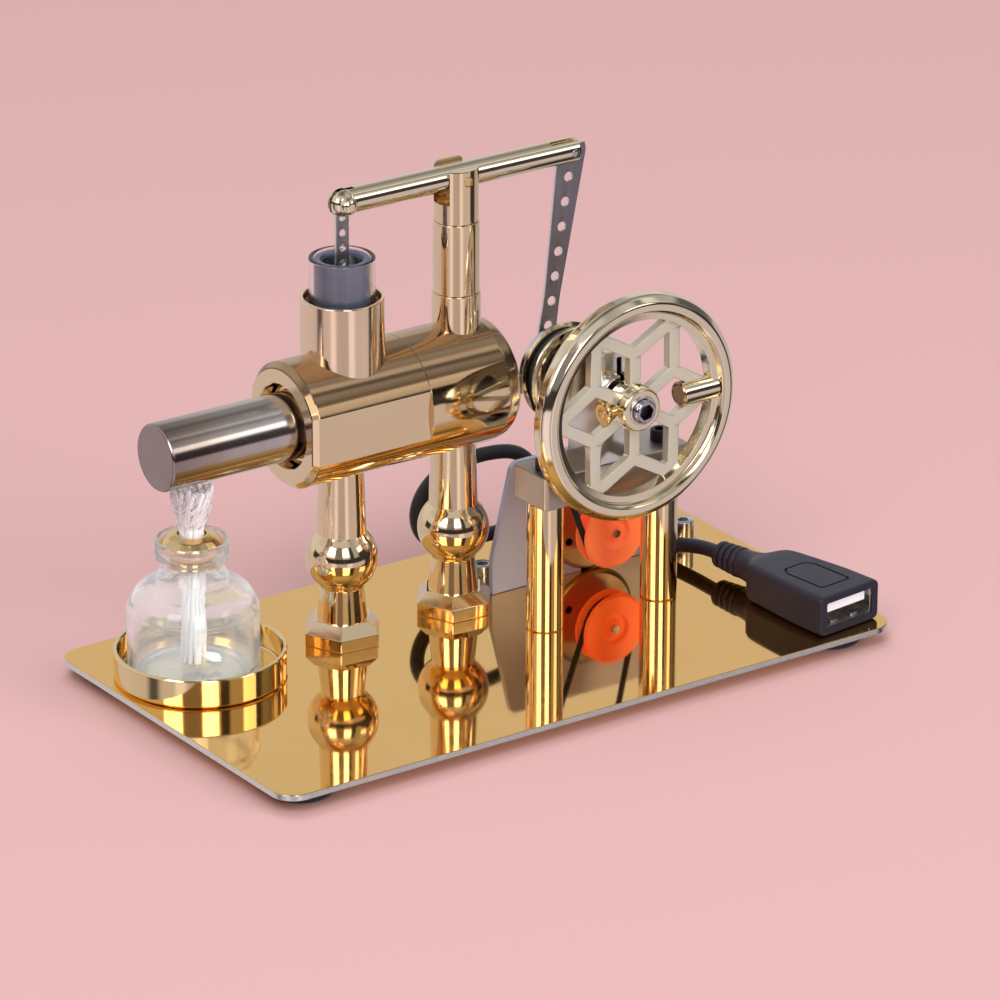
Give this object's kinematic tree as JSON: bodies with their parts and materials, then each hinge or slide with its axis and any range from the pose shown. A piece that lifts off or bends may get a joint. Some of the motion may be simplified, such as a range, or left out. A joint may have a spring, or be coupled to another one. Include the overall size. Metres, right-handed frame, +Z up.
{
  "type": "stirling engine model",
  "caption": "Beam-type hot-air engine model on a polished base, with spirit burner, displacer cylinder, glass power cylinder, spoked flywheel, belt-driven generator and USB socket.",
  "frame": {"origin": "centre of the base plate's footprint, on the surface the rubber feet stand on", "axes": "+Z up; +X along the plate's long side, from the hot tube towards the flywheel; +Y towards the rear, where the generator's cable runs"},
  "size_m": [0.172, 0.0978, 0.117],
  "materials": {
    "gold_plate": "mirror polished",
    "gold_brass": "mirror polished",
    "rose_gold": "polished",
    "pale_gold": "polished",
    "brass": "polished",
    "hot_steel": "fine turned",
    "thin_steel": "satin",
    "silver": "polished",
    "dark_steel": "satin",
    "black_steel": "blackened",
    "graphite": "ground graphite",
    "glass": "clear",
    "rubber": "matt",
    "black_plastic": "satin",
    "white_plastic": "matt",
    "orange_plastic": "semi-gloss",
    "wick_fibre": "twisted cotton"
  },
  "bodies": {
    "engine_frame": {"base_plate": "gold_plate", "base_screws": "black_steel", "beam_pivot_pin": "brass", "bearing_balls": "thin_steel", "bearing_bridge": "silver", "bearing_housing": "silver", "bearing_outer_rings": "thin_steel", "bridge_pillars": "gold_brass", "burner_bottle": "glass", "burner_cap": "brass", "burner_tray": "gold_brass", "burner_wick": "wick_fibre", "cap_screws": "black_steel", "cooling_block": "gold_brass", "cooling_block_leg": "gold_brass", "drive_belt": "rubber", "generator_bracket": "silver", "generator_can": "thin_steel", "generator_end_cap": "black_plastic", "generator_magnets": "black_steel", "glass_cylinder": "glass", "hot_tube": "hot_steel", "post_fork": "gold_brass", "post_lower": "gold_brass", "post_middle": "gold_brass", "power_sleeve": "rose_gold", "rear_housing": "gold_brass", "rear_housing_leg": "gold_brass", "rod_guide_bush": "brass", "rubber_feet": "rubber", "sleeve_seal_ring": "rubber", "usb_cable": "rubber", "usb_shell": "thin_steel", "usb_socket_body": "black_plastic", "usb_tongue": "white_plastic"},
    "crank": {"crankshaft": "thin_steel", "flywheel": "pale_gold", "flywheel_screw": "black_steel", "hub_set_screw": "brass", "balance_weight": "pale_gold", "drive_pulley": "pale_gold", "crank_disc": "silver", "crank_pin": "thin_steel", "bearing_inner_rings": "thin_steel"},
    "generator_rotor": {"generator_armature": "thin_steel", "generator_pulley": "orange_plastic"},
    "beam": {"beam": "pale_gold", "beam_end_screws": "silver"},
    "piston": {"power_piston": "graphite", "piston_yoke": "thin_steel", "piston_pin": "thin_steel"},
    "piston_link": {"piston_link": "dark_steel"},
    "connecting_rod": {"connecting_rod": "dark_steel"},
    "displacer": {"displacer_can": "thin_steel", "displacer_plug": "brass", "displacer_rod": "thin_steel", "displacer_fork": "thin_steel", "displacer_fork_pin": "thin_steel"},
    "displacer_link": {"displacer_link": "dark_steel", "crank_end_screw": "silver"}
  },
  "joints": [
    {"name": "crank_spin", "type": "hinge", "parent": "engine_frame", "child": "crank", "pos_m": [0.0334, 0, 0.0606], "axis": [0, -1, 0], "continuous": true},
    {"name": "generator_spin", "type": "hinge", "parent": "engine_frame", "child": "generator_rotor", "pos_m": [0.0462, 0.0112, 0.0174], "axis": [0, -1, 0], "continuous": true},
    {"name": "beam_rock", "type": "hinge", "parent": "engine_frame", "child": "beam", "pos_m": [0.0066, 0.0186, 0.1127], "axis": [0, -1, 0], "range_deg": [-1.6, 20.9]},
    {"name": "piston_slide", "type": "slide", "parent": "engine_frame", "child": "piston", "axis": [0, 0, 1], "range_m": [-0.0115, 0.001]},
    {"name": "piston_link_swing", "type": "hinge", "parent": "beam", "child": "piston_link", "pos_m": [-0.02515, 0.0186, 0.1127], "axis": [0, -1, 0], "range_deg": [-27.5, 2.5]},
    {"name": "connecting_rod_swing", "type": "hinge", "parent": "beam", "child": "connecting_rod", "pos_m": [0.03835, 0.0186, 0.1127], "axis": [0, -1, 0], "range_deg": [-15.5, 1.5]},
    {"name": "displacer_slide", "type": "slide", "parent": "engine_frame", "child": "displacer", "axis": [1, 0, 0], "range_m": [-0.0029, 0.0092]},
    {"name": "displacer_link_swing", "type": "hinge", "parent": "displacer", "child": "displacer_link", "pos_m": [0.00426, 0.0186, 0.0617], "axis": [0, -1, 0], "range_deg": [-3.1, 23.9]}
  ],
  "couplings": [
    {"joint": "generator_spin", "follows": "crank_spin", "ratio": 1.4156},
    {"joint": "piston_slide", "follows": "beam_rock", "m_per_rad": -0.0309},
    {"joint": "piston_link_swing", "follows": "beam_rock", "ratio": -1.278},
    {"joint": "connecting_rod_swing", "follows": "beam_rock", "ratio": -0.71}
  ]
}
